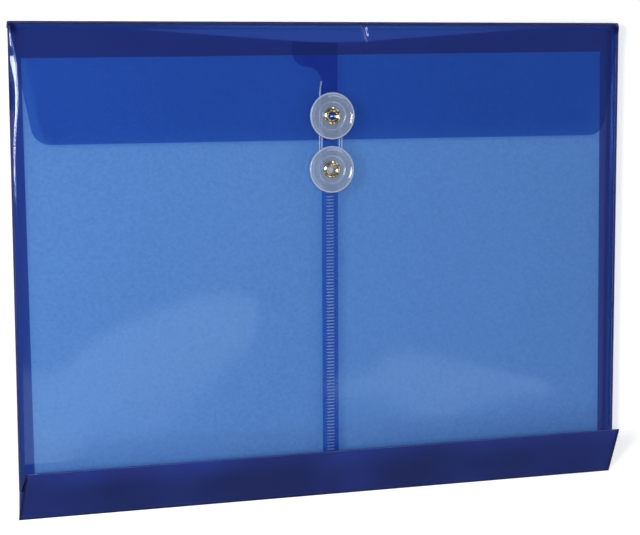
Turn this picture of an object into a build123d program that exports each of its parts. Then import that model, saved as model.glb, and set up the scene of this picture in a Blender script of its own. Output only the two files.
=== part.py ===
"""String tie envelope of translucent film, lying on its back with the flap tied shut.

X runs across the envelope, Y from its bottom crease to the flap's fold, and Z out of its front.
The origin is under the middle of the envelope, on the surface that it lies on. Lengths are in mm.
"""
import os
from math import cos, pi, radians, sin, sqrt, tan

from build123d import *

# Pocket
pocket_width = 330.2
pocket_height = 247.65
film = 0.2
crease_gap = 0.8
side_end_gap = 0.5

# Block bottom that opens for thick contents
gusset_depth = 31.75
gusset_lean_angle = 32.6
gusset_end_inset = 2.7
inner_layer_start = 2.4
inner_layer_end_gap = 4.0
ear_tip_radius = 2.0
strip_root_gap = 1.2
strip_tip_gap = 1.3
strip_end_gap = 0.6

# Centre seam: the right front sheet laps over the left one and is welded in a ladder of ribs
seam_x = -1.4
lap_width = 8.8
lap_ear_radius = 7.8
lap_ear_drop = 30.5
weld_width = 3.1
weld_pitch = 1.66
weld_rib_length = 0.8
weld_rib_height = 0.12
weld_end_gap = 3.0

# Mouth of the pocket under the flap: level at the sides, then sloping down to the middle
mouth_end_drop = 0.3
mouth_level_width = 60.0
mouth_dip = 7.4
mouth_round = 300.0

# Flap
flap_depth = 60.0
flap_gap = 0.8
flap_taper_angle = 11.1
flap_corner_radius = 9.5

# Buttons: a disc with a hub, turning on an eyelet that is clenched through the film
upper_button_inset = 12.3
button_pitch = 27.4
disc_radius = 12.0
disc_thickness = 1.1
disc_rim_width = 1.4
disc_rim_height = 0.35
disc_rim_slope_share = 0.3
disc_edge_round = 0.4
disc_dish_radius = 7.2
disc_dish_depth = 0.3
disc_dish_slope = 0.4
hub_radius = 3.0
hub_height = 2.2
disc_float = 0.1
disc_running_clearance = 0.05
barrel_radius = 2.45
barrel_wall = 0.3
barrel_hole_clearance = 0.05
foot_radius = 4.3
foot_thickness = 0.3
collar_radius = 4.4
collar_height = 0.85
collar_crown_shares = [(0.9, 0.6), (0.62, 1.0), (0.3, 0.85), (0.0, 0.2)]
petal_count = 6
petal_slot = 0.45

# Tie string, wound outward round both hubs
string_diameter = 0.8
string_start_bend = 0.8
string_turn_step = 1.3
string_side_step = 0.3
string_loops = 2
string_sides = 8
tail_bend_rise = 12.9
tail_length = 4.8
tail_drift = 1.3
tail_lift = 0.1

# White card inside the pocket
card_side_room = 8.1
card_top_room = 16.65
card_bottom_gap = 5.0
card_thickness = 0.5
card_float = 0.15
card_side_shift = -0.5
card_tilt_angle = 0.5

# Heights of the sheets, all from the lean of the block bottom
lean = radians(gusset_lean_angle)
front_rise = gusset_depth * (sin(lean) - sqrt(cos(lean) * (1 - cos(lean))))
left_front_z = front_rise
right_front_z = left_front_z + film
front_top_z = right_front_z + film
flap_z = front_top_z + flap_gap
flap_top_z = flap_z + film
left_fold_radius = right_front_z / 2
right_fold_radius = front_top_z / 2
flap_fold_radius = flap_top_z / 2

# Places across and up the envelope
side_x = pocket_width / 2
left_flat_x = left_fold_radius - side_x
right_flat_x = side_x - right_fold_radius
bottom_y = -pocket_height / 2
top_y = pocket_height / 2
fold_y = top_y - flap_fold_radius
crease_y = bottom_y + film / 2
crease_z = film / 2
front_fold_y = crease_y + gusset_depth / 2
flap_edge_y = top_y - flap_depth
upper_button_y = flap_edge_y + upper_button_inset
lower_button_y = upper_button_y - button_pitch
disc_bore_radius = barrel_radius + disc_running_clearance


def save(shape, node):
    """Write one node."""
    shape.label = node
    export_step(shape, f"parts/{node}.step")


def along_y(profile, low_y, high_y):
    """Extrude a profile drawn in X and Z from one Y to another."""
    return extrude(Plane.XZ.offset(-high_y) * profile, amount=high_y - low_y)


def along_x(profile, low_x, high_x):
    """Extrude a profile drawn in Y and Z from one X to another."""
    return extrude(Plane.YZ.offset(low_x) * profile, amount=high_x - low_x)


def box_face(low, high):
    """Rectangle between two corners."""
    middle = ((low[0] + high[0]) / 2, (low[1] + high[1]) / 2)
    return Pos(*middle) * Rectangle(high[0] - low[0], high[1] - low[1])


def half_ring(radius, turn):
    """Half of a thin film ring, open towards the given turn in degrees."""
    ring = Circle(radius) - Circle(radius - film)
    keep = Pos(-radius, 0) * Rectangle(2 * radius, 2 * radius)
    return Rot(0, 0, turn) * (ring & keep)


def sheet(outline, low_z):
    """Film with a flat outline, lying at a height."""
    return extrude(Pos(0, 0, low_z) * outline, amount=film)


def back_panel():
    """Back sheet, which the whole envelope lies on, at its full width below the side folds."""
    low_y = crease_y + crease_gap
    foot = box_face((-side_x, low_y), (side_x, front_fold_y - side_end_gap))
    return sheet(box_face((left_flat_x, low_y), (right_flat_x, fold_y)) + foot, 0)


def side_fold(radius, centre_x, turn):
    """Rounded side of the pocket, from the lower fold to just under the flap's fold."""
    profile = Pos(centre_x, radius) * half_ring(radius, turn)
    return along_y(profile, front_fold_y, fold_y - side_end_gap)


def mouth_outline(low_x, high_x):
    """Front sheet between two X, with the shallow dip of the mouth along its top."""
    end_y = fold_y - mouth_end_drop
    slope_x = side_x - mouth_level_width
    dip = (0, end_y - mouth_dip)
    mouth = FilletPolyline(
        (side_x, end_y), (slope_x, end_y), dip, (-slope_x, end_y), (-side_x, end_y), radius=mouth_round)
    rest = Polyline((-side_x, end_y), (-side_x, front_fold_y), (side_x, front_fold_y), (side_x, end_y))
    whole = make_face(mouth.edges() + rest.edges())
    return whole & box_face((low_x, front_fold_y), (high_x, fold_y))


def lap_ear():
    """Flared ear at the top of the lap: two quarter arcs that carry its edge out to the left."""
    edge_x = seam_x - lap_width / 2
    start_y = top_y - lap_ear_drop
    mid = (edge_x - lap_ear_radius, start_y + lap_ear_radius)
    far = (mid[0] - lap_ear_radius, mid[1] + lap_ear_radius)
    first = CenterArc((mid[0], start_y), lap_ear_radius, 0, 90)
    second = CenterArc((mid[0], far[1]), lap_ear_radius, 270, -90)
    rest = Polyline(far, (far[0], fold_y), (edge_x, fold_y), (edge_x, start_y))
    ear = make_face(first.edges() + second.edges() + rest.edges())
    return ear & mouth_outline(left_flat_x, right_flat_x)


def button_hole(y):
    """Hole that an eyelet's barrel goes through."""
    return Pos(seam_x, y) * Circle(barrel_radius + barrel_hole_clearance)


def front_panel_left():
    """Left front sheet, under the lap."""
    outline = mouth_outline(left_flat_x, seam_x + lap_width / 2)
    return sheet(outline - button_hole(lower_button_y), left_front_z)


def front_panel_right():
    """Right front sheet with its lap, the ear at the mouth and the ladder of the weld."""
    outline = mouth_outline(seam_x - lap_width / 2, right_flat_x) + lap_ear()
    panel = sheet(outline - button_hole(lower_button_y), right_front_z)
    low_y = front_fold_y + weld_end_gap
    high_y = lower_button_y - disc_radius - weld_end_gap
    count = int((high_y - low_y) / weld_pitch)
    rib = Box(weld_width, weld_rib_length, weld_rib_height, align=(Align.CENTER, Align.CENTER, Align.MIN))
    ribs = [Pos(seam_x, low_y + i * weld_pitch, front_top_z) * rib for i in range(count + 1)]
    return panel + ribs


def flap_fold():
    """Rounded fold that carries the flap over the mouth."""
    profile = Pos(fold_y, flap_fold_radius) * half_ring(flap_fold_radius, 180)
    return along_x(profile, -side_x, side_x)


def flap_panel():
    """Flap with drawn-in sides and rounded corners."""
    edge_x = side_x - (fold_y - flap_edge_y) * tan(radians(flap_taper_angle))
    corners = [(-edge_x, flap_edge_y), (edge_x, flap_edge_y)]
    outline = make_face(Polyline((-side_x, fold_y), *corners, (side_x, fold_y), close=True))
    lower = outline.vertices().sort_by(Axis.Y)[:2]
    rounded = fillet(lower, flap_corner_radius)
    return sheet(rounded - button_hole(upper_button_y), flap_z)


# Plane of the open block bottom: its X is across, its Y climbs from the crease, its Z faces out
gusset_plane = Plane((0, crease_y, crease_z), x_dir=(1, 0, 0), z_dir=(0, -sin(lean), cos(lean)))
gusset_top_y = crease_y + gusset_depth * cos(lean)
gusset_top_z = crease_z + gusset_depth * sin(lean)


def gusset_half_width(climb):
    """Half the width of the bottom band at a distance up from the crease."""
    return side_x - gusset_end_inset * climb / gusset_depth


def bottom_layer(low, high, half_low, half_high, level):
    """One film layer of the bottom band, counted inward from its outer sheet."""
    corners = [(-half_low, low), (half_low, low), (half_high, high), (-half_high, high)]
    outline = make_face(Polyline(*corners, close=True))
    base = -film / 2 - level * film
    return extrude(gusset_plane * Pos(0, 0, base) * outline, amount=film)


def bottom_outer_flap():
    """Outer sheet of the block bottom, from the crease to its springing top edge."""
    return bottom_layer(0, gusset_depth, gusset_half_width(0), gusset_half_width(gusset_depth), 0)


def bottom_inner_flap():
    """Sheet that is welded inside the outer one."""
    low = inner_layer_start
    high = gusset_depth - inner_layer_end_gap
    half_low = gusset_half_width(low) - gusset_end_inset
    return bottom_layer(low, high, half_low, gusset_half_width(high) - gusset_end_inset, 1)


def corner_ear(side):
    """Triangular ear that the end of the pocket folds into, on the innermost layer."""
    low = inner_layer_start
    high = gusset_depth - 2 * inner_layer_end_gap
    base_x = gusset_half_width(high) - 2 * gusset_end_inset
    tip = (side * (base_x - (high - low) / 2), (low + high) / 2)
    corners = [(side * base_x, low), (side * base_x, high), tip]
    outline = make_face(Polyline(*corners, close=True))
    rounded = fillet(outline.vertices().sort_by_distance((*tip, 0))[:1], ear_tip_radius)
    base = -film / 2 - 2 * film
    return extrude(gusset_plane * Pos(0, 0, base) * rounded, amount=film)


def gusset_strip():
    """Strip that folds back from the band's top edge to the front panel's lower fold."""
    run_y = front_fold_y - gusset_top_y
    run_z = crease_z + front_rise - gusset_top_z
    plane = Plane((0, gusset_top_y, gusset_top_z), x_dir=(1, 0, 0), z_dir=(0, -run_z, run_y))
    half = gusset_half_width(gusset_depth) - strip_end_gap
    outline = box_face((-half, strip_root_gap), (half, gusset_depth / 2 - strip_tip_gap))
    return extrude(plane * Pos(0, 0, -film / 2) * outline, amount=film)


def eyelet(y, low_z, high_z):
    """Eyelet clenched through film between two heights, its collar split into petals."""
    seat_z = high_z + 2 * disc_float + hub_height + disc_thickness - disc_dish_depth
    bore = barrel_radius - barrel_wall
    foot_z = low_z - foot_thickness
    crown_width = collar_radius - bore
    crown = [(bore + crown_width * w, seat_z + collar_height * h) for w, h in collar_crown_shares]
    profile = make_face(Polyline(
        (bore, foot_z), (foot_radius, foot_z), (foot_radius, low_z), (barrel_radius, low_z),
        (barrel_radius, seat_z), (collar_radius, seat_z), *crown, close=True))
    body = revolve(Plane.XZ * profile, Axis.Z)
    slot_length = collar_radius - barrel_radius + film
    slot = Box(slot_length, petal_slot, 2 * collar_height, align=(Align.MIN, Align.CENTER, Align.CENTER))
    turns = [i * 360 / petal_count for i in range(petal_count)]
    slots = [Rot(0, 0, turn) * Pos(barrel_radius, 0, seat_z) * slot for turn in turns]
    return Pos(seam_x, y, 0) * (body - slots)


def button_disc(y, film_z):
    """Clear disc with a rim, a dished middle and a hub that holds it off the film for the string."""
    hub_z = film_z + disc_float
    under_z = hub_z + hub_height
    top_z = under_z + disc_thickness
    dish_z = top_z - disc_dish_depth
    corner = disc_radius - disc_edge_round
    bead_x = disc_radius - disc_rim_width
    bead_slope = disc_rim_width * disc_rim_slope_share
    bead_z = top_z + disc_rim_height
    profile = make_face(Polyline(
        (disc_bore_radius, dish_z), (disc_bore_radius, hub_z), (hub_radius, hub_z), (hub_radius, under_z),
        (corner, under_z), (disc_radius, under_z + disc_edge_round), (disc_radius, top_z),
        (disc_radius - bead_slope, bead_z), (bead_x + bead_slope, bead_z), (bead_x, top_z),
        (disc_dish_radius, top_z), (disc_dish_radius - disc_dish_slope, dish_z), close=True))
    return Pos(seam_x, y, 0) * revolve(Plane.XZ * profile, Axis.Z)


def string_route():
    """Path of the string: out of the upper hub, round both hubs, and off up the left as a free tail."""
    upper_z = flap_top_z + disc_float + hub_height / 2
    lower_z = front_top_z + disc_float + hub_height / 2
    climb = upper_z - lower_z
    plane = Plane((seam_x, upper_button_y, upper_z), x_dir=(1, 0, 0), z_dir=(0, -climb, button_pitch))
    span = sqrt(button_pitch ** 2 + climb ** 2)
    exit_x = hub_radius + string_diameter
    right_x = exit_x + string_start_bend
    path = Line((hub_radius, 0), (exit_x, 0)).edges()
    path += CenterArc((exit_x, -string_start_bend), string_start_bend, 90, -90).edges()
    start_v = -string_start_bend
    radii = [string_start_bend]
    for loop in range(string_loops):
        left_x = -right_x - string_side_step
        path += Line((right_x, start_v), (right_x, -span)).edges()
        radii.append((right_x - left_x) / 2)
        path += CenterArc(((right_x + left_x) / 2, -span), radii[-1], 0, -180).edges()
        if loop < string_loops - 1:
            path += Line((left_x, -span), (left_x, 0)).edges()
            right_x += string_turn_step
            radii.append((right_x - left_x) / 2)
            path += CenterArc(((right_x + left_x) / 2, 0), radii[-1], 180, -180).edges()
            start_v = 0
    wound = [plane * e for e in path]
    foot = plane.from_local_coords((left_x, -span, 0))
    bend = plane.from_local_coords((left_x, tail_bend_rise, 0))
    tip_z = flap_top_z + string_diameter / 2 + tail_lift
    tip = Vector(seam_x + left_x + tail_drift, upper_button_y + tail_bend_rise + tail_length, tip_z)
    turn = radians((bend - foot).get_angle(tip - bend))
    tail_share = 0.45
    radii.append(tail_share * (tip - bend).length / tan(turn / 2))
    tail = FilletPolyline(foot, bend, tip, radius=radii[-1])
    return Wire(wound + tail.edges()), radii


def least_gap(route):
    """Least clear distance between two stretches of the string that aren't neighbours along it."""
    samples_per_mm = 4
    count = int(route.length * samples_per_mm)
    points = [route @ (i / count) for i in range(count + 1)]
    apart = int(pi * string_diameter * samples_per_mm) + 1
    gaps = [(points[i] - points[j]).length for i in range(count + 1) for j in range(i + apart, count + 1)]
    return min(gaps) - string_diameter


def tie_string():
    """The string as one unbroken tube."""
    route, radii = string_route()
    section = Plane(route @ 0, z_dir=route % 0) * RegularPolygon(string_diameter / 2, string_sides)
    tube = sweep(section, path=route)
    straight = section.area * route.length
    print("string length", round(route.length, 2), "radii", [round(r, 2) for r in radii])
    print("string least gap", round(least_gap(route), 3), "volume ratio", round(tube.volume / straight, 5))
    return tube


def insert_card():
    """White card that the pocket holds, lying a little askew."""
    width = pocket_width - 2 * card_side_room
    height = pocket_height - card_bottom_gap - card_top_room
    middle = (card_side_shift, bottom_y + card_bottom_gap + height / 2, film + card_float)
    outline = Rot(0, 0, card_tilt_angle) * Rectangle(width, height)
    return Pos(*middle) * extrude(outline, amount=card_thickness)


os.makedirs("parts", exist_ok=True)
save(back_panel(), "back_panel")
save(side_fold(left_fold_radius, left_flat_x, 0), "left_side_fold")
save(side_fold(right_fold_radius, right_flat_x, 180), "right_side_fold")
save(front_panel_left(), "front_panel_left")
save(front_panel_right(), "front_panel_right")
save(flap_fold(), "flap_fold")
save(flap_panel(), "flap_panel")
save(bottom_outer_flap(), "bottom_outer_flap")
save(bottom_inner_flap(), "bottom_inner_flap")
save(corner_ear(-1), "left_corner_ear")
save(corner_ear(1), "right_corner_ear")
save(gusset_strip(), "gusset_strip")
save(eyelet(upper_button_y, flap_z, flap_top_z), "upper_eyelet")
save(eyelet(lower_button_y, left_front_z, front_top_z), "lower_eyelet")
save(button_disc(upper_button_y, flap_top_z), "upper_disc")
save(button_disc(lower_button_y, front_top_z), "lower_disc")
save(tie_string(), "tie_string")
save(insert_card(), "insert_card")
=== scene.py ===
from math import cos, exp, pi, radians, sin, sqrt, tan

import bmesh
import bpy
import numpy as np
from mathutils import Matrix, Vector


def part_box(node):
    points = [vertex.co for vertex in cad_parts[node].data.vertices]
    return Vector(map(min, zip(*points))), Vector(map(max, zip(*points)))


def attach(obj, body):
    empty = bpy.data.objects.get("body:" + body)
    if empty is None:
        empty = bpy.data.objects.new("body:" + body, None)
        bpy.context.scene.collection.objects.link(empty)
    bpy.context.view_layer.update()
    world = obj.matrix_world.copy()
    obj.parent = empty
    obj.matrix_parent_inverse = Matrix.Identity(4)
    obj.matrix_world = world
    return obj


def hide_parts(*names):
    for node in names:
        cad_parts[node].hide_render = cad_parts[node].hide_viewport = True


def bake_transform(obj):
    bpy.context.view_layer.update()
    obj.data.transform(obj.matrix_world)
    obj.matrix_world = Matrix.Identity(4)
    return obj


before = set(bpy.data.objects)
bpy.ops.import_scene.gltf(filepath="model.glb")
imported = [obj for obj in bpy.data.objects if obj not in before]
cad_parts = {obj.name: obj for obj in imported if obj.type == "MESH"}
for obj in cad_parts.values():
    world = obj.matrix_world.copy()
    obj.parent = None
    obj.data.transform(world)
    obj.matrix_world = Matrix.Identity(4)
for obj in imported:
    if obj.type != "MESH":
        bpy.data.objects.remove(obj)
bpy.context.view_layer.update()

scene = bpy.context.scene
scene.view_settings.view_transform = "Standard"
scene.cycles.transparent_max_bounces = 64
scene.cycles.max_bounces = 16

MM = 0.001

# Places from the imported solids, in metres
left_front_low, left_front_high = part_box("front_panel_left")
flap_low, flap_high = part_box("flap_panel")
upper_disc_low, upper_disc_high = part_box("upper_disc")
lower_disc_low, lower_disc_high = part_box("lower_disc")
card_low, card_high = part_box("insert_card")
side_x = -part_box("left_side_fold")[0].x
left_flat_x = left_front_low.x
lap_right_x = left_front_high.x
right_flat_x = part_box("front_panel_right")[1].x
front_fold_y = left_front_low.y
left_front_z = left_front_low.z
right_front_z = left_front_high.z
fold_y = flap_high.y
flap_edge_y = flap_low.y
top_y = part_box("flap_fold")[1].y
flap_z = flap_low.z
flap_top_z = flap_high.z
film = flap_top_z - flap_z
front_top_z = right_front_z + film
crease_y = film / 2 - top_y
crease_z = film / 2
seam_x = (upper_disc_low.x + upper_disc_high.x) / 2
upper_y = (upper_disc_low.y + upper_disc_high.y) / 2
lower_y = (lower_disc_low.y + lower_disc_high.y) / 2
pitch = upper_y - lower_y

# Sizes that several pieces share
sheet_thickness = 0.17 * MM
hole_radius = 2.5 * MM
string_diameter = 0.8 * MM
sheet_sharp_angle = 35
turned_sharp_angle = 50
rib_sharp_angle = 60


def new_object(name, data):
    """Link a mesh, curve, lamp or camera as a new object."""
    made = bpy.data.objects.new(name, data)
    scene.collection.objects.link(made)
    return made


def smooth(mesh, angle):
    """Smooth shading with sharp edges above an angle."""
    mesh.shade_smooth()
    mesh.set_sharp_from_angle(angle=radians(angle))


def face_outward(mesh):
    """Turn all faces of a closed mesh outward."""
    fixed = bmesh.new()
    fixed.from_mesh(mesh)
    bmesh.ops.recalc_face_normals(fixed, faces=fixed.faces)
    fixed.to_mesh(mesh)
    fixed.free()


def mark(mesh, name, values):
    """Keep a number per point on a mesh, which its material reads: how much painted shade a film has, how
    much painted highlight a disc's rim has, and how pale a film is painted for a highlight.
    """
    layer = mesh.attributes.new(name, "FLOAT", "POINT")
    layer.data.foreach_set("value", values)


def shell(name, grid, thickness=sheet_thickness, painted_light=None, pale=None):
    """Closed thin sheet round a grid of middle points, rows by columns."""
    grid = np.array(grid, float)
    rows, cols = grid.shape[:2]
    normal = np.cross(np.gradient(grid, axis=1), np.gradient(grid, axis=0))
    normal /= np.linalg.norm(normal, axis=2, keepdims=True)
    front = grid + normal * thickness / 2
    back = grid - normal * thickness / 2
    points = np.concatenate([front.reshape(-1, 3), back.reshape(-1, 3)])
    far = rows * cols
    number = np.arange(far).reshape(rows, cols)
    corners = [number[:-1, :-1], number[:-1, 1:], number[1:, 1:], number[1:, :-1]]
    face = np.stack([corner.ravel() for corner in corners], 1)
    border = np.concatenate([number[0, :], number[1:, -1], number[-1, -2::-1], number[-2:0:-1, 0]])
    after = np.roll(border, -1)
    edge = np.stack([border, border + far, after + far, after], 1)
    mesh = bpy.data.meshes.new(name)
    mesh.from_pydata(points.tolist(), [], np.concatenate([face, face[:, ::-1] + far, edge]).tolist())
    mesh.validate()
    for label, values in (("painted_light", painted_light), ("pale", pale)):
        if values is not None:
            mark(mesh, label, np.tile(np.array(values, float).ravel(), 2))
    smooth(mesh, sheet_sharp_angle)
    return new_object(name, mesh)


def lathe(name, profile, y, segments, shape=None, painted_light=None):
    """Closed ring of revolution about a button's axis, from a closed profile of (radius, height)."""
    count = len(profile)
    points = []
    faces = []
    for i in range(segments):
        turn = 2 * pi * i / segments
        for r, z in profile:
            if shape:
                r, z = shape(turn, r, z)
            points.append((seam_x + r * cos(turn), y + r * sin(turn), z))
        here = i * count
        there = (i + 1) % segments * count
        for k in range(count):
            n = (k + 1) % count
            faces.append((here + k, there + k, there + n, here + n))
    mesh = bpy.data.meshes.new(name)
    mesh.from_pydata(points, [], faces)
    face_outward(mesh)
    if painted_light:
        mark(mesh, "painted_light", [painted_light(r, z) for r, z in profile] * segments)
    smooth(mesh, turned_sharp_angle)
    return new_object(name, mesh)


def rounded(corners, steps=4):
    """Closed profile from (radius, height, rounding) corners."""
    points = []
    for i, (x, z, rounding) in enumerate(corners):
        here = Vector((x, z))
        before = Vector(corners[i - 1][:2])
        after = Vector(corners[(i + 1) % len(corners)][:2])
        if rounding == 0:
            points.append(tuple(here))
            continue
        start = here + (before - here).normalized() * rounding
        end = here + (after - here).normalized() * rounding
        for s in range(steps + 1):
            t = s / steps
            points.append(tuple(start * (1 - t) ** 2 + here * 2 * t * (1 - t) + end * t ** 2))
    return points


drill_depth = 20 * MM
drill_segments = 48


def cut_hole(piece, y):
    """Cut the round hole of an eyelet through a sheet."""
    mesh = bpy.data.meshes.new("drill")
    drill = bmesh.new()
    bmesh.ops.create_cone(drill, cap_ends=True, segments=drill_segments, radius1=hole_radius,
                          radius2=hole_radius, depth=drill_depth)
    drill.to_mesh(mesh)
    drill.free()
    tool = new_object("drill", mesh)
    tool.location = (seam_x, y, flap_z)
    cut = piece.modifiers.new("hole", "BOOLEAN")
    cut.operation = "DIFFERENCE"
    cut.solver = "EXACT"
    cut.object = tool
    bpy.context.view_layer.update()
    done = bpy.data.meshes.new_from_object(piece.evaluated_get(bpy.context.evaluated_depsgraph_get()))
    piece.modifiers.clear()
    piece.data = done
    smooth(done, sheet_sharp_angle)
    bpy.data.objects.remove(tool)


def ease(value, low, high):
    """Smooth step from 0 to 1 between two limits."""
    t = np.clip((value - low) / (high - low), 0, 1)
    return t * t * (3 - 2 * t)


def bell(value, middle, width):
    """Rounded peak of height 1 about a middle."""
    return exp(-((value - middle) / width) ** 2)


def lower_of(first, second, blend):
    """Smaller of two values, rounded where they meet."""
    share = float(np.clip(0.5 + (second - first) / (2 * blend), 0, 1))
    return second + (first - second) * share - blend * share * (1 - share)


ripple_count = 6
ripple_spread = 0.9
ripple_lengths = (80 * MM, 240 * MM)
ripple_share = 0.25


def ripple(x, y, seed):
    """Slow uneven waves of a stretched film, about -1 to 1."""
    draw = np.random.default_rng(seed)
    total = 0
    for k in range(ripple_count):
        angle = draw.uniform(-ripple_spread, ripple_spread) + (pi / 2 if k % 2 else 0)
        length = draw.uniform(*ripple_lengths)
        phase = draw.uniform(0, 2 * pi)
        run = x * cos(angle) + y * sin(angle)
        total = total + ripple_share * np.sin(run * 2 * pi / length + phase)
    return float(total)


# Camera
camera_data = bpy.data.cameras.new("camera")
camera_data.lens = 100.394
camera_data.sensor_width = 36
camera_data.shift_x = 0.02
camera_data.shift_y = 0.04
camera_data.clip_start = 0.01
camera = new_object("camera", camera_data)
camera.location = (-0.3057, 0.0991, 0.8744)
camera.rotation_euler = (radians(-6.9985), radians(-18.5985), radians(-0.3262))
scene.camera = camera


# Nodes that several materials use
def node_tree(name):
    """New empty node material and its tree."""
    material = bpy.data.materials.new(name)
    material.use_nodes = True
    material.node_tree.nodes.clear()
    return material, material.node_tree


def add(tree, kind, **inputs):
    """New node with some of its inputs set or linked, each by its name or by i and its number."""
    made = tree.nodes.new(kind)
    for key, value in inputs.items():
        numbered = key[0] == "i" and key[1:].isdigit()
        socket = made.inputs[int(key[1:]) if numbered else key.replace("_", " ")]
        if isinstance(value, bpy.types.NodeSocket):
            tree.links.new(value, socket)
        else:
            socket.default_value = value
    return made


def finish_material(tree, shader):
    """Link a shader to a new output node."""
    add(tree, "ShaderNodeOutputMaterial", Surface=shader)


def math_node(tree, operation, first, second):
    """Math node of two inputs."""
    made = add(tree, "ShaderNodeMath", i0=first, i1=second)
    made.operation = operation
    return made.outputs[0]


def spread(tree, value, low, rise):
    """A varying value times a rise, above a low end."""
    return math_node(tree, "ADD", math_node(tree, "MULTIPLY", value, rise), low)


def mix(tree, share, first, second):
    """Mix of two shaders."""
    return add(tree, "ShaderNodeMixShader", i0=share, i1=first, i2=second).outputs[0]


def noise(tree, scale, detail, roughness=0.5):
    """Noise in the piece's own coordinates."""
    where = tree.nodes.new("ShaderNodeTexCoord").outputs["Object"]
    made = add(tree, "ShaderNodeTexNoise", Vector=where, Scale=scale, Detail=detail, Roughness=roughness)
    return made.outputs[0]


def marked(tree, name):
    """Number per point that a mesh keeps under a name."""
    made = tree.nodes.new("ShaderNodeAttribute")
    made.attribute_name = name
    return made.outputs["Fac"]


def ramp(tree, value, colours, places):
    """Two colours, one below the first place of a varying value and one above the second."""
    made = add(tree, "ShaderNodeValToRGB", Fac=value)
    for stop, colour, place in zip(made.color_ramp.elements, colours, places):
        stop.color = (*colour, 1)
        stop.position = place
    return made.outputs[0]


def diffuse(tree, colour, normal):
    """Matt shader of one colour or of a colour link."""
    return add(tree, "ShaderNodeBsdfDiffuse", Color=colour, Normal=normal).outputs[0]


def bumps(tree, height, strength, distance):
    """Normal of a slightly uneven face."""
    return add(tree, "ShaderNodeBump", Strength=strength, Distance=distance, Height=height).outputs[0]


def gloss_over(tree, body, normal, roughness, base, strength):
    """Gloss over a body, with a base share at square view that grows to its strength at grazing angles."""
    facing = add(tree, "ShaderNodeLayerWeight", Blend=0.5, Normal=normal).outputs["Facing"]
    rise = math_node(tree, "POWER", facing, 5.0)
    share = spread(tree, rise, base, strength - base)
    gloss = add(tree, "ShaderNodeBsdfGlossy", Color=(1, 1, 1, 1), Roughness=roughness, Normal=normal)
    return mix(tree, share, body, gloss.outputs[0])


# Materials
steep_power = 2.4
haze_places = (0.38, 0.66)
painted_highlight_colour = (0.5, 0.58, 0.9, 1)
rim_highlight_colour = (0.8, 0.89, 0.96, 1)


def film_material(name, tint, grazing_and_shade_tint, haze_colours, haze, roughness):
    """Clear tinted film: light passes each face with a tint, a little scatters, and both faces are glossy.
    The tint turns darker at grazing angles, and also where the mesh marks painted shade.
    """
    material, tree = node_tree(name)
    cloud = noise(tree, 38.0, 3.0)
    normal = bumps(tree, cloud, 0.04, 0.4 * MM)
    facing = add(tree, "ShaderNodeLayerWeight", Blend=0.5).outputs["Facing"]
    steep = math_node(tree, "POWER", facing, steep_power)
    painted_light = marked(tree, "painted_light")
    # Painted shade: where the mesh marks it, the tint is pulled towards the dark tint, as at grazing angles.
    mixed = tree.nodes.new("ShaderNodeMix")
    mixed.data_type = "RGBA"
    tree.links.new(math_node(tree, "MAXIMUM", steep, painted_light), mixed.inputs[0])
    mixed.inputs[6].default_value = (*tint, 1)
    mixed.inputs[7].default_value = (*grazing_and_shade_tint, 1)
    clear = add(tree, "ShaderNodeBsdfTransparent", Color=mixed.outputs[2]).outputs[0]
    milky = diffuse(tree, ramp(tree, noise(tree, 16.0, 2.0), haze_colours, haze_places), normal)
    speckled = spread(tree, noise(tree, 900.0, 2.0), haze * 0.6, haze * 0.8)
    share = math_node(tree, "MULTIPLY", speckled, math_node(tree, "SUBTRACT", 1.0, painted_light))
    body = mix(tree, share, clear, milky)
    # Painted highlight: a pale matt colour where the mesh marks it, along the band's top fold.
    body = mix(tree, marked(tree, "pale"), body, diffuse(tree, painted_highlight_colour, normal))
    rough = spread(tree, cloud, roughness * 0.7, roughness * 0.6)
    finish_material(tree, gloss_over(tree, body, normal, rough, 0.034, 0.07))
    return material


def clear_material(name, tint, milk_colour, milk, roughness):
    """Clear moulded plastic with a little milkiness and flow marks, and a painted highlight in a pale matt
    colour where the mesh marks it.
    """
    material, tree = node_tree(name)
    cloud = noise(tree, 260.0, 4.0)
    normal = bumps(tree, cloud, 0.008, 0.2 * MM)
    clear = add(tree, "ShaderNodeBsdfTransparent", Color=(*tint, 1)).outputs[0]
    milky = diffuse(tree, (*milk_colour, 1), normal)
    body = mix(tree, spread(tree, cloud, milk * 0.7, milk * 0.6), clear, milky)
    # Painted highlight: a pale matt colour on a disc's rim and step, where the mesh marks it.
    body = mix(tree, marked(tree, "painted_light"), body, diffuse(tree, rim_highlight_colour, normal))
    finish_material(tree, gloss_over(tree, body, normal, roughness, 0.05, 0.9))
    return material


def brass_material():
    """Bright pressed brass, a little uneven and tarnished."""
    material, tree = node_tree("brass")
    cloud = noise(tree, 900.0, 4.0)
    colour = ramp(tree, cloud, ((0.34, 0.27, 0.15), (0.9, 0.82, 0.6)), (0.3, 0.65))
    metal = add(tree, "ShaderNodeBsdfPrincipled", Base_Color=colour, Metallic=1.0,
                Roughness=spread(tree, cloud, 0.05, 0.12), Normal=bumps(tree, cloud, 0.1, 0.1 * MM))
    finish_material(tree, metal.outputs[0])
    return material


def card_material():
    """Matt white card with fibres."""
    material, tree = node_tree("white_card")
    fibre = noise(tree, 700.0, 6.0, 0.7)
    colour = ramp(tree, fibre, ((0.74, 0.75, 0.78), (0.88, 0.88, 0.89)), (0.35, 0.62))
    paper = add(tree, "ShaderNodeBsdfPrincipled", Base_Color=colour, Roughness=0.85,
                Normal=bumps(tree, fibre, 0.2, 0.1 * MM))
    finish_material(tree, paper.outputs[0])
    return material


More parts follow.
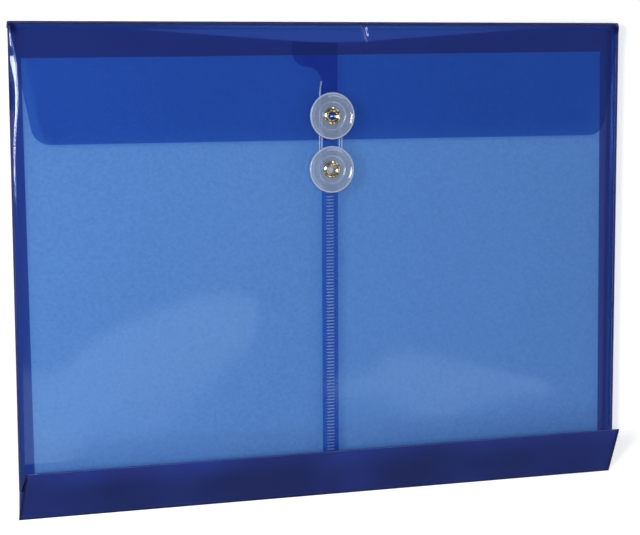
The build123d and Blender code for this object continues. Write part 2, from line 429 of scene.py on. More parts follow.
film_tint = (0.59, 0.745, 0.92)
film_grazing_and_shade = (0.1, 0.18, 0.5)
film_haze = ((0.04, 0.09, 0.4), (0.07, 0.14, 0.5))
# The back is the same film as the front, with a darker tint that is painted shade.
back_shaded_tint = (0.46, 0.56, 0.79)
back_grazing_and_shade = (0.8, 0.34, 0.5)
deep_tint = (0.42, 0.5, 0.77)
deep_grazing_and_shade = (0.02, 0.035, 0.2)
deep_haze = ((0.028, 0.07, 0.46), (0.046, 0.12, 0.74))
weld_tint = (0.72, 0.8, 0.93)
weld_haze = ((0.22, 0.34, 0.66), (0.3, 0.44, 0.74))
blue_film = film_material("blue_film", film_tint, film_grazing_and_shade, film_haze, 0.03, 0.06)
back_blue_painted_shade = film_material("back_blue_painted_shade", back_shaded_tint, back_grazing_and_shade, film_haze, 0.03, 0.08)
deep_film = film_material("deep_film", deep_tint, deep_grazing_and_shade, deep_haze, 0.3, 0.12)
weld_film = film_material("weld_film", weld_tint, film_tint, weld_haze, 0.3, 0.25)
clear_disc = clear_material("clear_disc", (0.93, 0.95, 0.97), (0.38, 0.46, 0.57), 0.27, 0.1)
clear_string = clear_material("clear_string", (0.78, 0.87, 0.97), (0.5, 0.65, 0.9), 0.2, 0.3)
brass = brass_material()
white_card = card_material()


def dress(piece, material):
    """Give a piece its one material."""
    piece.data.materials.clear()
    piece.data.materials.append(material)


# String, wound twice round both hubs, with a tail that points to the flap's fold
string_rise = 1.2 * MM
front_clearance = 0.3 * MM
upper_string_z = flap_top_z + string_rise
lower_string_z = front_top_z + string_rise + front_clearance
tail_z = flap_top_z + 0.5 * MM
near_hub = 6 * string_diameter
half_turn_points = 7
first_right = 4.6 * MM
first_left = -4.9 * MM
second_right = 5.9 * MM
second_left = -6.2 * MM


def string_point(across, down):
    """Point of the winding's tilted plane: across from the seam, and down from the upper hub."""
    share = down / pitch
    return (seam_x + across, upper_y - down, upper_string_z + (lower_string_z - upper_string_z) * share)


def half_turn(start, end, down):
    """Control points of half a turn, clockwise as seen from the front, on a circle just outside it."""
    step = pi / (half_turn_points - 1)
    middle = (start + end) / 2
    out = (start - end) / 2 / cos(step / 2)
    turns = [step * i for i in range(1, half_turn_points - 1)]
    round_points = [(middle + out * cos(t), down + out * sin(t)) for t in turns]
    return [(start, down), *round_points, (end, down)]


route = [(3.0 * MM, 0), (3.6 * MM, 0), (4.3 * MM, 0.15 * MM), (first_right, 0.9 * MM)]
route += [(first_right, near_hub), (first_right, pitch - near_hub)]
route += half_turn(first_right, first_left, pitch)
route += [(first_left, pitch - near_hub), (first_left, near_hub)]
route += half_turn(first_left, second_right, 0)
route += [(second_right, near_hub), (second_right, pitch - near_hub)]
route += half_turn(second_right, second_left, pitch)
route += [(second_left, pitch - near_hub), (second_left, near_hub), (second_left, -4.5 * MM)]
string_points = [string_point(*place) for place in route]
string_points += [(seam_x - 6.15 * MM, upper_y + 11.0 * MM, upper_string_z + 0.2 * MM),
                  (seam_x - 5.75 * MM, upper_y + 14.3 * MM, tail_z + 0.55 * MM),
                  (seam_x - 4.9 * MM, upper_y + 17.7 * MM, tail_z)]
string_curve = bpy.data.curves.new("tie_cord", "CURVE")
string_curve.dimensions = "3D"
spline = string_curve.splines.new("NURBS")
spline.points.add(len(string_points) - 1)
for control, place in zip(spline.points, string_points):
    control.co = (*place, 1)
    control.radius = string_diameter / 2
spline.order_u = 3
spline.use_endpoint_u = True
string_curve.bevel_depth = 1.0
string_curve.bevel_resolution = 5
string_curve.resolution_u = 10
string_curve.use_fill_caps = True
tie_cord = new_object("tie_cord", string_curve)
dress(tie_cord, clear_string)
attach(tie_cord, "flap")
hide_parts("tie_string")

# Mouth of the pocket: level at the sides, then sloping down to a rounded middle
mouth_end_drop = 0.3 * MM
mouth_level_width = 60.0 * MM
mouth_dip = 7.4 * MM
mouth_round = 300.0 * MM
level_rows_gap = 2.0 * MM
mouth_end_y = fold_y - mouth_end_drop
mouth_slope_x = side_x - mouth_level_width
mouth_slope = mouth_dip / mouth_slope_x
middle_reach = mouth_round * mouth_slope
end_reach = middle_reach / 2
level_top_y = mouth_end_y - mouth_dip - level_rows_gap


def mouth_y(x):
    """Height of the mouth's edge."""
    across = abs(x)
    if across < middle_reach:
        fall = mouth_slope_x - (across ** 2 / middle_reach + middle_reach) / 2
    elif across < mouth_slope_x - end_reach:
        fall = mouth_slope_x - across
    else:
        fall = max(0.0, mouth_slope_x + end_reach - across) ** 2 / (4 * end_reach)
    return mouth_end_y - mouth_slope * fall


def sheet_y(x, row_y):
    """Height of a front sheet's row at an X: level below the mouth, then drawn down with its edge."""
    if row_y <= level_top_y:
        return row_y
    share = (row_y - level_top_y) / (mouth_end_y - level_top_y)
    return level_top_y + (mouth_y(x) - level_top_y) * share


# Slow waves of the front sheets
wave_base = 0.3 * MM
wave_height = 0.35 * MM
wave_margin = 40 * MM
wave_foot = 45 * MM
wave_stop_y = lower_y - 28 * MM
wave_end_y = lower_y - 6 * MM
seam_still = 6 * MM
seam_free = 45 * MM


def front_lift(x, y, seed):
    """How far a front sheet stands off its level: waves that die out at its edges and under the flap."""
    inside = ease(min(x - left_flat_x, right_flat_x - x), 0, wave_margin)
    lower = ease(y, front_fold_y, front_fold_y + wave_foot)
    upper = 1 - ease(y, wave_stop_y, wave_end_y)
    seam = ease(abs(x - seam_x), seam_still, seam_free)
    return float((wave_base + wave_height * ripple(x, y, seed)) * inside * lower * upper * seam)


# The left side is pulled tight beside the flap: a flat slope runs down it, wanders inward and swells
slope_rise = 0.49
slope_middle = 1.2 * MM
slope_width = 0.8 * MM
slope_join = 0.12 * MM
pull_y = 88 * MM
pull_length = 17 * MM
pull_shift = 1.8 * MM
pull_width = 0.5 * MM
pull_swell = 0.35 * MM
swell_reach = 10 * MM
pinch_y = 104 * MM
pinch_length = 6 * MM
pinch_shift = 0.2 * MM
pinch_width = 1.9 * MM
corner_low_y = 106 * MM
corner_high_y = 118 * MM
corner_shift = 0.7 * MM
round_top_y = -30 * MM
tight_low_y = 40 * MM


def side_slope(y):
    """Where the left side's flat slope starts and ends across, and how far the film swells inside it."""
    pull = bell(y, pull_y, pull_length)
    pinch = bell(y, pinch_y, pinch_length)
    corner = float(ease(y, corner_low_y, corner_high_y))
    middle = slope_middle + pull_shift * pull - pinch_shift * pinch - corner_shift * corner
    width = slope_width + pull_width * pull + pinch_width * pinch
    return middle - width / 2, middle + width / 2, pull_swell * pull


def left_side_height(across, y, radius):
    """Height of the left side above its widest line, at a distance in from its outer edge."""
    start, end, swell = side_slope(y)
    slope_z = radius + swell - slope_rise * (end - across)
    start_z = radius + swell - slope_rise * (end - start)
    wall_z = start_z * across / start
    top_z = radius + swell * bell(max(0.0, across - end), 0, swell_reach)
    tight = lower_of(lower_of(wall_z, slope_z, slope_join), top_z, slope_join)
    round_z = sqrt(max(0.0, radius ** 2 - max(0.0, radius - across) ** 2))
    return round_z + (tight - round_z) * float(ease(y, round_top_y, tight_low_y))


# Front sheets, each of which runs round its side to the back
side_end_y = fold_y - 0.5 * MM
side_reach = 2.2 * MM
ring_steps = 36
ring_turns = np.linspace(-pi / 2, pi / 2, ring_steps + 1)
ring_shade_power = 1.5
slope_shade = 0.9
flat_shares = np.linspace(0, 1, 110)[1:] ** 1.6
left_border_shade = 0.12
right_border_shade = 0.35
flat_shade_limit = 0.3
border_before = 1.5 * MM
border_after = 1.0 * MM
left_seed = 3
right_seed = 5
lap_left_x = seam_x - 4.4 * MM
ear_radius = 7.8 * MM
ear_start_y = top_y - 30.5 * MM


def lap_edge(y):
    """Edge of the lap, with the ear that flares to the left at the mouth."""
    rise = y - ear_start_y
    if rise <= 0:
        return lap_left_x
    if rise <= ear_radius:
        return lap_left_x - ear_radius + sqrt(ear_radius ** 2 - rise ** 2)
    if rise < 2 * ear_radius:
        return lap_left_x - ear_radius - sqrt(ear_radius ** 2 - (2 * ear_radius - rise) ** 2)
    return lap_left_x - 2 * ear_radius


def straight_edge(y):
    """Edge of the left sheet under the lap."""
    return lap_right_x


def pocket_sheet(name, side, edge_x_of, row_ys, seed):
    """Front sheet of one side of the pocket, with the rounded side that carries it round to the back."""
    level_z = left_front_z if side < 0 else right_front_z
    flat_x = left_flat_x if side < 0 else right_flat_x
    card_edge_x = card_low.x if side < 0 else card_high.x
    border_shade = left_border_shade if side < 0 else right_border_shade
    radius = level_z / 2
    middle_z = (level_z + film) / 2
    rows = []
    painted_light = []
    for row_y in row_ys:
        up = (row_y - front_fold_y) / (mouth_end_y - front_fold_y)
        row = []
        row_painted_shade = []
        for k, turn in enumerate(ring_turns):
            end_y = side_end_y + (mouth_end_y - side_end_y) * k / ring_steps + side_reach * cos(turn)
            y = front_fold_y + (end_y - front_fold_y) * up
            z = radius * sin(turn)
            # Painted shade: darker where the side turns under, and never lighter than the border.
            shade = max(max(0.0, cos(turn)) ** ring_shade_power, border_shade)
            if side < 0 and turn > 0:
                across = radius * (1 - cos(turn))
                z = left_side_height(across, y, radius)
                # Painted shade on the left side's steep outer wall.
                shade = max(shade, slope_shade * sqrt(max(0.0, 1 - across / side_slope(y)[0])))
            row.append((flat_x + side * radius * cos(turn), y, middle_z + z))
            row_painted_shade.append(shade)
        edge_x = edge_x_of(row_y)
        for share in flat_shares:
            x = flat_x + (edge_x - flat_x) * share
            y = sheet_y(x, row_y)
            z = radius + front_lift(x, y, seed)
            if side < 0:
                z += left_side_height(x - flat_x + radius, y, radius) - radius
            row.append((x, y, middle_z + z))
            # Painted shade on the border beyond the card's edge.
            border = float(ease(side * (x - card_edge_x), -border_before, border_after))
            row_painted_shade.append(border * min(border_shade, flat_shade_limit))
        rows.append(row)
        painted_light.append(row_painted_shade)
    made = shell(name, np.array(rows)[:, ::-side], painted_light=np.array(painted_light)[:, ::-side])
    cut_hole(made, lower_y)
    dress(made, blue_film)
    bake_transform(made)
    return made


plain_rows = np.linspace(front_fold_y, mouth_end_y, 120)
ear_turns = np.linspace(0, pi / 2, 12)[1:]
lap_rows = [*np.linspace(front_fold_y, ear_start_y, 60)]
lap_rows += [ear_start_y + ear_radius * sin(t) for t in ear_turns]
lap_rows += [ear_start_y + ear_radius * (2 - cos(t)) for t in ear_turns]
lap_rows += [*np.linspace(lap_rows[-1], mouth_end_y, 9)[1:]]
front_left = pocket_sheet("front_left_film", -1, straight_edge, plain_rows, left_seed)
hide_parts("front_panel_left", "left_side_fold")
front_right = pocket_sheet("front_right_film", 1, lap_edge, lap_rows, right_seed)
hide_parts("front_panel_right", "right_side_fold")

# Ladder of the seam's weld, pressed proud of the lap
weld_low_y = front_fold_y + 3.0 * MM
weld_high_y = lower_y - 12.6 * MM
weld_pitch = 1.66 * MM
rib_half_width = 2.3 * MM
rib_half_length = 0.36 * MM
rib_half_height = 0.07 * MM
rib_z = front_top_z + 0.05 * MM
rib_end_share = 0.1
rib_cols = 9
rib_around = 6


def rib(middle_y, base):
    """Points and faces of one rib across the seam, which thins towards its ends."""
    points = []
    for share in np.linspace(-1, 1, rib_cols):
        swell = sqrt(max(0.0, 1 - share ** 4)) * (1 - rib_end_share) + rib_end_share
        for a in range(rib_around):
            turn = 2 * pi * a / rib_around
            points.append((seam_x + share * rib_half_width, middle_y + rib_half_length * swell * cos(turn),
                           rib_z + rib_half_height * swell * sin(turn)))
    faces = []
    for c in range(rib_cols - 1):
        here = base + c * rib_around
        there = here + rib_around
        for a in range(rib_around):
            n = (a + 1) % rib_around
            faces.append((here + a, here + n, there + n, there + a))
    faces.append(tuple(base + a for a in reversed(range(rib_around))))
    faces.append(tuple(base + (rib_cols - 1) * rib_around + a for a in range(rib_around)))
    return points, faces


weld_points = []
weld_faces = []
for i in range(int((weld_high_y - weld_low_y) / weld_pitch) + 1):
    points, faces = rib(weld_low_y + i * weld_pitch, len(weld_points))
    weld_points += points
    weld_faces += faces
weld_mesh = bpy.data.meshes.new("seam_weld")
weld_mesh.from_pydata(weld_points, [], weld_faces)
face_outward(weld_mesh)
smooth(weld_mesh, rib_sharp_angle)
seam_weld = new_object("seam_weld", weld_mesh)
dress(seam_weld, weld_film)
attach(seam_weld, "front")

# Back sheet, with a foot that runs down to the bottom crease
foot_y = front_fold_y - 0.5 * MM
foot_start_y = crease_y + 0.8 * MM
foot_inset = 1.0 * MM
foot_step = 0.02 * MM
back_cols = 160
back_margin = 30 * MM
back_wave = 0.03 * MM
back_seed = 8
back_right_shade = 0.3
back_top_shade = 0.35
mouth_fade = 1.5 * MM
card_top_before = 3 * MM
card_top_after = 1 * MM


def back_shade(x, y):
    """Painted shade on the back beside the card and above it, where it shows through the front."""
    right = float(ease(x, card_high.x - border_before, card_high.x + border_after))
    under_mouth = float(1 - ease(y, mouth_y(x) - mouth_fade, mouth_y(x) + mouth_fade))
    top = float(ease(y, card_high.y - card_top_before, card_high.y - card_top_after)) * under_mouth
    return max(back_right_shade * right, back_top_shade * top)


back_ys = [*np.linspace(foot_start_y, foot_y, 8), foot_y + foot_step, *np.linspace(front_fold_y, fold_y, 90)]
back_rows = []
back_painted_shade = []
for y in back_ys:
    half = side_x - foot_inset * (y - crease_y) / (foot_y - crease_y)
    low_x = -half if y <= foot_y else left_flat_x
    high_x = half if y <= foot_y else right_flat_x
    row = []
    row_painted_shade = []
    for x in low_x + (high_x - low_x) * np.linspace(0, 1, back_cols):
        inside = float(ease(min(x - low_x, high_x - x), 0, back_margin) * ease(fold_y - y, 0, back_margin))
        row.append((x, y, film / 2 + back_wave * (1 + ripple(x, y, back_seed)) * inside))
        row_painted_shade.append(back_shade(x, y))
    back_rows.append(row)
    back_painted_shade.append(row_painted_shade)
back_film = shell("back_film", back_rows, painted_light=back_painted_shade)
dress(back_film, back_blue_painted_shade)
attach(back_film, "back")
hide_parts("back_panel")

# Outline of the flap
taper_angle = radians(11.1)
taper = tan(taper_angle)
corner_radius = 9.5 * MM
corner_x = side_x - (fold_y - flap_edge_y) * taper - corner_radius * tan((pi / 2 - taper_angle) / 2)
corner_y = flap_edge_y + corner_radius
corner_start_y = corner_y - corner_radius * sin(taper_angle)
right_end_inset = 1.5 * MM
inset_length = 25 * MM


def flap_half_width(y):
    """Half the flap's width at a height, with its rounded lower corners."""
    if y >= corner_start_y:
        return side_x - (fold_y - y) * taper
    drop = min(1.0, max(0.0, (corner_y - y) / corner_radius))
    return corner_x + corner_radius * sqrt(max(0.0, 1 - drop ** 2))


# Small pinched dent in the flap's fold
dent_start = np.array((15.8 * MM, fold_y + 5.0 * MM))
dent_end = np.array((19.6 * MM, fold_y - 6.5 * MM))
dent_depth = 0.85 * MM
dent_width = 0.7 * MM
dent_fade_share = 0.6


def fold_dent(x, run_y):
    """Depth of the dent, at an X and at a height along the unrolled sheet."""
    place = np.array((x, run_y)) - dent_start
    way = dent_end - dent_start
    share = np.clip(np.dot(place, way) / np.dot(way, way), 0, 1)
    away = np.hypot(*(place - way * share))
    return dent_depth * (1 - dent_fade_share * share) * exp(-away ** 2 / (2 * dent_width ** 2))


# Flap and the fold that carries it over the mouth
flap_radius = flap_top_z / 2
fold_reach = flap_radius - film / 2
fold_steps = 24
flap_seed = 12
flap_wave = 0.24 * MM
flap_still = 4 * MM
flap_free = 30 * MM
button_still = 13 * MM
button_free = 40 * MM
dent_shares = np.linspace(0.085, 0.145, 29)
end_shares = np.linspace(0.985, 0.999, 6)
flap_shares = np.sort([*np.linspace(-1, 1, 150), *dent_shares, *end_shares, *-end_shares])
right_shares = ease(flap_shares, 0.0, 1.0)
# Painted shade on the flap's fold: darkest at its outer edge and at its two ends, lighter near its middle;
# its ends stay dark a little way down the flap.
fold_power = 1.5
fold_end_shade = 0.8
fold_ends = fold_end_shade * ease(np.abs(flap_shares), 0.972, 0.985)
fold_end_fade = 4 * MM
roll_shade = 0.2 + 0.15 * ease(np.abs(flap_shares + 0.12), 0.3, 0.75)
flap_rows = []
flap_painted_shade = []
for turn in np.linspace(-pi / 2, pi / 2, fold_steps + 1):
    row = []
    for x in flap_shares * (side_x - right_end_inset * (1 + sin(turn)) / 2 * right_shares):
        reach = fold_reach
        if turn > 0:
            reach -= fold_dent(x, fold_y + flap_radius * (pi / 2 - turn))
        row.append((x, fold_y + reach * cos(turn), flap_radius + reach * sin(turn)))
    flap_rows.append(row)
    flap_painted_shade.append(np.maximum(np.maximum(roll_shade, cos(turn) ** fold_power), fold_ends))
flap_ys = [*np.linspace(fold_y, corner_start_y, 46)[1:]]
flap_ys += [corner_y - corner_radius * sin(t) for t in np.linspace(taper_angle, pi / 2, 15)[1:]]
for y in flap_ys:
    inset = right_end_inset * float(ease(y, fold_y - inset_length, fold_y))
    row = []
    for x in flap_shares * (flap_half_width(y) - inset * right_shares):
        from_button = np.hypot(x - seam_x, y - upper_y)
        free = ease(fold_y - y, flap_still, flap_free) * ease(from_button, button_still, button_free)
        lift = flap_wave * (1 + ripple(x, y, flap_seed)) * float(free)
        row.append((x, y, flap_z + film / 2 + lift - fold_dent(x, y)))
    flap_rows.append(row)
    flap_painted_shade.append(fold_ends * float(ease(y, fold_y - fold_end_fade, fold_y)))
flap_film = shell("flap_film", np.array(flap_rows)[:, ::-1], painted_light=flap_painted_shade)
cut_hole(flap_film, upper_y)
dress(flap_film, blue_film)
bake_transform(flap_film)
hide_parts("flap_fold", "flap_panel")

# Block bottom: lines across it, from the crease up the band and back down the return strip
lean = radians(32.6)
band_depth = 31.75 * MM
along = np.array((0, cos(lean), sin(lean)))
inward = np.array((0, sin(lean), -cos(lean)))
upward = np.array((0, 1, 0))
crease = np.array((0, crease_y, crease_z))
band_top = crease + along * band_depth
strip_end = np.array((0, front_fold_y, left_front_z + film / 2))
strip_way = (strip_end - band_top) / np.linalg.norm(strip_end - band_top)
strip_tip_gap = 0.7 * MM
left_inset = 1.3 * MM
right_inset = 3.0 * MM
fold_round = 0.35 * MM
fold_drop = 0.5 * MM
band_start = 0.05 * MM
band_stop = band_depth - 0.6 * MM
band_bow = 0.25 * MM
bow_share = 0.9
band_seed = 21
deep_darkening = 0.4
band_end_shade = 0.85
foot_dark = 0.3 * MM
foot_fade = 1.8 * MM
top_fade_depth = 16 * MM
fold_highlight_share = 0.06
outer_shares = np.linspace(0.962, 1, 36)
band_shares = np.concatenate([-outer_shares[::-1], np.linspace(-0.955, 0.955, 120), outer_shares])
left_ends = ease(-band_shares, 0.991, 0.997)
right_ends = ease(band_shares, 0.985, 0.993)
band_ends = band_end_shade * np.where(band_shares < 0, left_ends, right_ends)
top_fade_shares = 1 - 0.6 * ease(band_shares, -0.7, 0.3)
crinkle_x = -side_x + 3.2 * MM
crinkle_length = 2.6 * MM
crinkle_wave = 3.4 * MM
crinkle_height = 0.4 * MM
crinkle_low = band_depth - 7 * MM
crinkle_high = band_depth - 1 * MM


def band_half(share, climb):
    """Half the band's width towards one end, at a distance up from the crease."""
    return side_x - (left_inset if share < 0 else right_inset) * climb / band_depth


def crinkle(x, climb):
    """Crinkles of the band's upper left corner, where it is gathered against the side."""
    wave = sin(2 * pi * (x - crinkle_x) / crinkle_wave) * bell(x, crinkle_x, crinkle_length)
    return crinkle_height * wave * float(ease(climb, crinkle_low, crinkle_high))


def sideways(x):
    """Step along X."""
    return np.array((x, 0, 0))


# Band, its rounded top fold and the return strip in one sheet
band_line = [crease + along * s for s in np.linspace(band_start, band_stop, 60)]
band_fold_highlight = [0.0] * len(band_line)
top_centre = band_top - along * fold_drop + inward * fold_round
# Painted highlight along the crest of the band's top fold.
for t in np.linspace(0, pi, 9):
    band_line.append(top_centre - inward * fold_round * cos(t) + along * fold_round * sin(t))
    band_fold_highlight.append(fold_highlight_share * sin(t) ** 2)
strip_start = band_line[-1]
strip_stop = strip_end - strip_way * strip_tip_gap
band_line += [strip_start + (strip_stop - strip_start) * s for s in np.linspace(0.06, 1, 14)]
band_fold_highlight += [0.0] * (len(band_line) - len(band_fold_highlight))
band_rows = []
band_painted_shade = []
for point in band_line:
    climb = float(np.dot(point - crease, along))
    outer = float(np.dot(point - crease, inward)) < fold_round
    bow = band_bow * sin(pi * min(1.0, max(0.0, climb / band_depth))) if outer else 0
    row = []
    for share in band_shares:
        x = share * band_half(share, climb)
        wave = bow * (1 + bow_share * ripple(x, climb, band_seed)) + crinkle(x, climb)
        row.append(point + sideways(x) - inward * wave)
    band_rows.append(row)
    # Painted shade of the band: full along its foot by the crease and at its two ends, even elsewhere, and
    # fading towards its top over its upper part, more on the left.
    foot = float(1 - ease(climb, foot_dark, foot_fade)) if outer else 0
    thin = float(ease(climb, band_depth - top_fade_depth, band_depth)) if outer else 0
    shade = deep_darkening * (1 - thin * top_fade_shares)
    band_painted_shade.append(np.maximum(band_ends, np.maximum(foot, shade)))
fold_highlight_grid = np.tile(np.array(band_fold_highlight)[:, None], (1, len(band_shares)))
band_film = shell("band_film", band_rows, painted_light=band_painted_shade, pale=fold_highlight_grid)
dress(band_film, deep_film)
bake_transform(band_film)
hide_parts("bottom_outer_flap", "gusset_strip")


def deep_sheet(name, grid):
    """Sheet of the block bottom whose film is evenly darkened."""
    made = shell(name, grid, painted_light=np.full(np.array(grid).shape[:2], deep_darkening))
    dress(made, deep_film)
    return made


# Inner sheet of the bottom, and the ears inside it
inner_start = 2.4 * MM
inner_stop = band_depth - 4.0 * MM
inner_end_gap = 0.5 * MM
inner_rows = []
for climb in np.linspace(inner_start, inner_stop, 16):
    level = crease + along * climb + inward * film
    inner_rows.append([level + sideways(share * (band_half(share, climb) - inner_end_gap))
                       for share in np.linspace(-1, 1, 60)])
inner_film = deep_sheet("bottom_inner_film", inner_rows)
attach(inner_film, "bottom")
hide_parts("bottom_inner_flap")
for node in ("left_corner_ear", "right_corner_ear"):
    dress(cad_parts[node], blue_film)

# Ends of the bottom: film drawn from the side's rounded end and the strip's end to the crease's corner
wall_lap = 0.5 * MM
wall_end_gap = 0.3 * MM
wall_tip_inset = 0.2 * MM
wall_drop = 0.9 * MM
wall_depth = 0.5 * MM
wall_reaches = np.linspace(0.04, 1, 26)


def end_wall(name, side, level_z, flat_x):
    """Film of one end, in two parts: one follows the side, and one follows the band and the strip."""
    tip = np.array((side * (side_x - wall_tip_inset), crease_y + wall_end_gap, film))
    middle_z = (level_z + film) / 2
    radius = middle_z - film
    rim_y = front_fold_y - wall_end_gap
    rim = np.array([(flat_x + side * radius * cos(t), rim_y, middle_z + radius * sin(t)) for t in ring_turns])
    corner = rim[-1]
    top = band_top + inward * wall_depth - along * wall_drop
    top = top + sideways(side * (band_half(side, band_depth) - wall_end_gap))
    start = corner - sideways(side * wall_lap)
    strip_rim = np.array([start * (1 - t) + top * t for t in np.linspace(0, 1, 16)])
    lower_grid = np.array([tip + (rim - tip) * s for s in wall_reaches])
    upper_grid = np.array([tip + (strip_rim - tip) * s for s in wall_reaches])
    lower = deep_sheet(name + "_lower", lower_grid[:, ::side])
    upper = deep_sheet(name + "_upper", upper_grid[:, ::side])
    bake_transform(lower)
    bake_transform(upper)


end_wall("left_end_wall", -1, left_front_z, left_flat_x)
end_wall("right_end_wall", 1, right_front_z, right_flat_x)

# Bottom crease, which turns from the back into the band
turn_reach = 0.25 * MM
turn_depth = 0.1 * MM
crease_back_reach = 1.1 * MM
crease_band_reach = 0.9 * MM
crease_cols = 100
crease_swell = 1.1
turn_start = crease + upward * turn_reach
turn_middle = crease - upward * turn_depth
turn_end = crease + along * turn_reach
crease_line = [crease + upward * s for s in np.linspace(crease_back_reach, turn_reach, 5)]
for t in np.linspace(0, 1, 9)[1:-1]:
    crease_line.append(turn_start * (1 - t) ** 2 + turn_middle * 2 * t * (1 - t) + turn_end * t ** 2)
crease_line += [crease + along * s for s in np.linspace(turn_reach, crease_band_reach, 4)]
crease_xs = np.linspace(-side_x, side_x, crease_cols)
crease_rows = [[point + sideways(x) for x in crease_xs] for point in crease_line]
# Painted shade: the crease's film carries the full darkening.
crease_film = shell("bottom_crease", crease_rows, sheet_thickness * crease_swell,
                    np.ones((len(crease_rows), crease_cols)))
dress(crease_film, deep_film)
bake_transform(crease_film)

# Card
dress(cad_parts["insert_card"], white_card)

# Buttons
disc_radius = 12.0 * MM
disc_bore = 2.5 * MM
disc_thickness = 1.1 * MM
disc_float = 0.1 * MM
disc_segments = 144
hub_radius = 3.0 * MM
hub_height = 2.2 * MM
rim_height = 0.35 * MM
rim_top_radius = disc_radius - 1.2 * MM
rim_foot_radius = disc_radius - 2.2 * MM
face_drop = 0.1 * MM
step_outer_radius = 8.4 * MM
step_top_radius = 7.3 * MM
step_middle_radius = 7.1 * MM
step_inner_radius = 6.7 * MM
step_height = 0.05 * MM
dish_drop = 0.3 * MM
hub_end_round = 0.15 * MM
hub_root_round = 0.2 * MM
rim_round = 0.5 * MM
rim_inner_round = 0.4 * MM
face_round = 0.8 * MM
step_round = 0.3 * MM
dish_round = 0.25 * MM
highlight_low = 0.2 * MM
rim_highlight_share = 0.3
step_highlight_share = 0.14
rim_highlight_inset = 0.35 * MM
rim_highlight_width = 0.45 * MM
step_highlight_width = 0.3 * MM


def button(name, node, body, y, film_top):
    """Clear disc with a rounded rim, a dished middle and its hub."""
    hub_z = film_top + disc_float
    under_z = hub_z + hub_height
    top_z = under_z + disc_thickness
    rim_z = top_z + rim_height
    face_z = top_z - face_drop
    dish_z = top_z - dish_drop
    profile = rounded([
        (disc_bore, hub_z, 0), (hub_radius, hub_z, hub_end_round), (hub_radius, under_z, hub_root_round),
        (disc_radius, under_z, rim_round), (disc_radius, rim_z, rim_round),
        (rim_top_radius, rim_z, rim_inner_round), (rim_foot_radius, face_z, face_round),
        (step_outer_radius, face_z, face_round), (step_top_radius, top_z + step_height, step_round),
        (step_inner_radius, dish_z, dish_round), (disc_bore, dish_z, 0)])

    def painted_rim_highlight(r, z):
        """Painted highlight on the rim and on the step of the dish."""
        if z <= under_z + highlight_low:
            return 0.0
        rim = rim_highlight_share * bell(r, disc_radius - rim_highlight_inset, rim_highlight_width)
        return rim + step_highlight_share * bell(r, step_middle_radius, step_highlight_width)

    made = lathe(name, profile, y, disc_segments, painted_light=painted_rim_highlight)
    dress(made, clear_disc)
    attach(made, body)
    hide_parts(node)


button("upper_button_disc", "upper_disc", "upper_button", upper_y, flap_top_z)
button("lower_button_disc", "lower_disc", "lower_button", lower_y, front_top_z)

# Eyelets
eyelet_bore = 2.15 * MM
eyelet_segments = 180
barrel_radius = 2.45 * MM
foot_radius = 4.3 * MM
foot_edge_radius = 4.2 * MM
foot_thickness = 0.3 * MM
foot_bevel = 0.1 * MM
seat_rise = 3.2 * MM
seat_gap = 0.01 * MM
roll_radius = 3.3 * MM
roll_half_width = 1.1 * MM
roll_height = 0.72 * MM
roll_rise = 0.12 * MM
roll_start_rise = 0.1 * MM
collar_edge_radius = 4.38 * MM
petal_count = 6
petal_gap_share = 0.13
petal_depth_share = 0.85
petal_root_radius = 2.3 * MM
petal_start_radius = 2.2 * MM
petal_start_rise = 0.02 * MM


def eyelet(name, node, body, y, low_z, film_top):
    """Brass eyelet with a rolled collar that is split into petals."""
    seat_z = film_top + seat_rise
    foot_z = low_z - foot_thickness

    def petal(turn, r, z):
        """Split the collar into petals whose gaps pull in and down."""
        if z <= seat_z + petal_start_rise or r < petal_start_radius:
            return r, z
        gap = abs((turn / (2 * pi) * petal_count) % 1 - 0.5)
        notch = petal_depth_share * sqrt(max(0.0, 1 - gap / petal_gap_share))
        return r - notch * (r - petal_root_radius), z - notch * (z - seat_z)

    profile = [(eyelet_bore, foot_z), (eyelet_bore, seat_z + roll_start_rise)]
    for t in np.linspace(pi, 0, 13):
        profile.append((roll_radius + roll_half_width * cos(t), seat_z + roll_rise + roll_height * sin(t)))
    profile += [(collar_edge_radius, seat_z + seat_gap), (barrel_radius, seat_z + seat_gap),
                (barrel_radius, low_z - seat_gap), (foot_edge_radius, low_z - seat_gap),
                (foot_radius, low_z - foot_bevel), (foot_edge_radius, foot_z)]
    made = lathe(name, profile, y, eyelet_segments, petal)
    dress(made, brass)
    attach(made, body)
    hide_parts(node)


eyelet("upper_brass_eyelet", "upper_eyelet", "flap", upper_y, flap_z, flap_top_z)
eyelet("lower_brass_eyelet", "lower_eyelet", "front", lower_y, left_front_z, front_top_z)

# Floor that sweeps up into a round backdrop
floor_radius = 2.6
sweep_radius = 0.8
wall_height = 2.4
floor_drop = 0.05 * MM
floor_segments = 64
mirrored_share = 0.12
glow_radii = (0.3, 1.5)
glow_strengths = (0.2, 0.95)


def floor_material():
    """Pale floor that keeps shadows, and glows to the camera away from the object so that it stays white."""
    material, tree = node_tree("floor")
    pale = add(tree, "ShaderNodeBsdfDiffuse", Color=(0.92, 0.92, 0.92, 1)).outputs[0]
    path = tree.nodes.new("ShaderNodeLightPath").outputs
    seen = math_node(tree, "MAXIMUM", path["Is Camera Ray"], path["Is Transmission Ray"])
    mirrored = math_node(tree, "MULTIPLY", path["Is Glossy Ray"], mirrored_share)
    seen = math_node(tree, "MAXIMUM", seen, mirrored)
    away = tree.nodes.new("ShaderNodeVectorMath")
    away.operation = "LENGTH"
    tree.links.new(tree.nodes.new("ShaderNodeTexCoord").outputs["Object"], away.inputs[0])
    far = add(tree, "ShaderNodeMapRange", i0=away.outputs["Value"], i1=glow_radii[0], i2=glow_radii[1],
              i3=glow_strengths[0], i4=glow_strengths[1]).outputs[0]
    strength = math_node(tree, "MULTIPLY", seen, far)
    glow = add(tree, "ShaderNodeEmission", Color=(1, 1, 1, 1), Strength=strength).outputs[0]
    finish_material(tree, add(tree, "ShaderNodeAddShader", i0=pale, i1=glow).outputs[0])
    return material


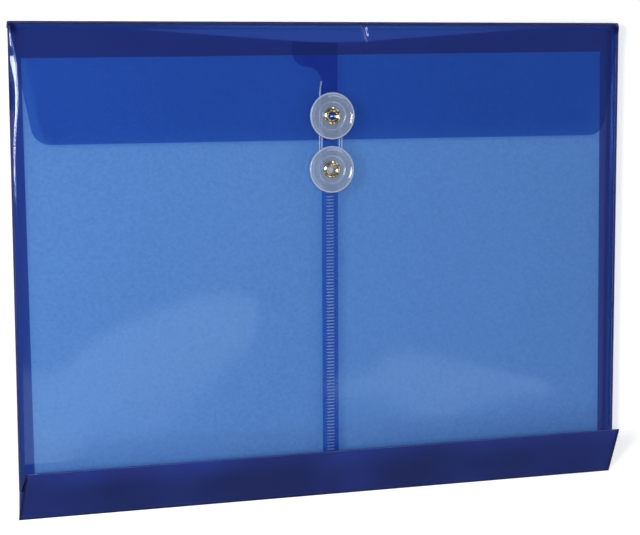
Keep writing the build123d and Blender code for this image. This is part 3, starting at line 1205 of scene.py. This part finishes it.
sweep_line = [(0.02, 0), (0.4, 0), (1.0, 0)]
for t in np.linspace(0, pi / 2, 13):
    sweep_line.append((floor_radius + sweep_radius * sin(t), sweep_radius * (1 - cos(t))))
sweep_line.append((floor_radius + sweep_radius, wall_height))
sweep_count = len(sweep_line)
floor_points = []
floor_faces = []
for i in range(floor_segments):
    turn = 2 * pi * i / floor_segments
    floor_points += [(r * cos(turn), r * sin(turn), z) for r, z in sweep_line]
    here = i * sweep_count
    there = (i + 1) % floor_segments * sweep_count
    floor_faces += [(here + k, here + k + 1, there + k + 1, there + k) for k in range(sweep_count - 1)]
floor_faces.append(tuple(i * sweep_count for i in range(floor_segments)))
floor_mesh = bpy.data.meshes.new("floor")
floor_mesh.from_pydata(floor_points, [], floor_faces)
floor_mesh.shade_smooth()
floor_mesh.materials.append(floor_material())
floor = new_object("floor", floor_mesh)
floor.location.z = -floor_drop

# Light
world = bpy.data.worlds.new("world")
scene.world = world
world.use_nodes = True
world_light = world.node_tree.nodes["Background"].inputs
world_light["Color"].default_value = (0.93, 0.96, 1.0, 1)
world_light["Strength"].default_value = 0.13


def lamp(name, place, target, size, power):
    """Soft rectangular lamp."""
    data = bpy.data.lights.new(name, "AREA")
    data.shape = "RECTANGLE"
    data.size = size[0]
    data.size_y = size[1]
    data.energy = power
    made = new_object(name, data)
    made.location = place
    made.rotation_euler = (Vector(target) - Vector(place)).to_track_quat("-Z", "Y").to_euler()
    return made


def soft_box(name, place, size, turn, power):
    """Dim oval lamp that faces straight down, seen only as a sheen on the film."""
    made = lamp(name, place, (place[0], place[1], 0), size, power)
    made.data.shape = "ELLIPSE"
    made.data.color = (0.84, 1.0, 0.96)
    made.rotation_euler = (0, 0, radians(turn))


lamp("key", (-0.85, 0.2, 0.75), (0, 0, 0), (0.45, 0.25), 7)
lamp("fill", (1.2, 0.2, 1.1), (0, 0, 0), (1.4, 0.5), 3.5)
lamp("front", (-0.35, 0.15, 1.15), (0, 0, 0), (0.35, 0.35), 6.5)
lamp("low", (0.35, -0.85, 1.25), (0, -0.1, 0), (0.8, 0.5), 3)
soft_box("left_sheen", (0.13, -0.337, 1.406), (0.64, 0.15), 21, 0.19)
soft_box("right_sheen", (0.66, -0.351, 1.406), (0.36, 0.065), -7, 0.045)
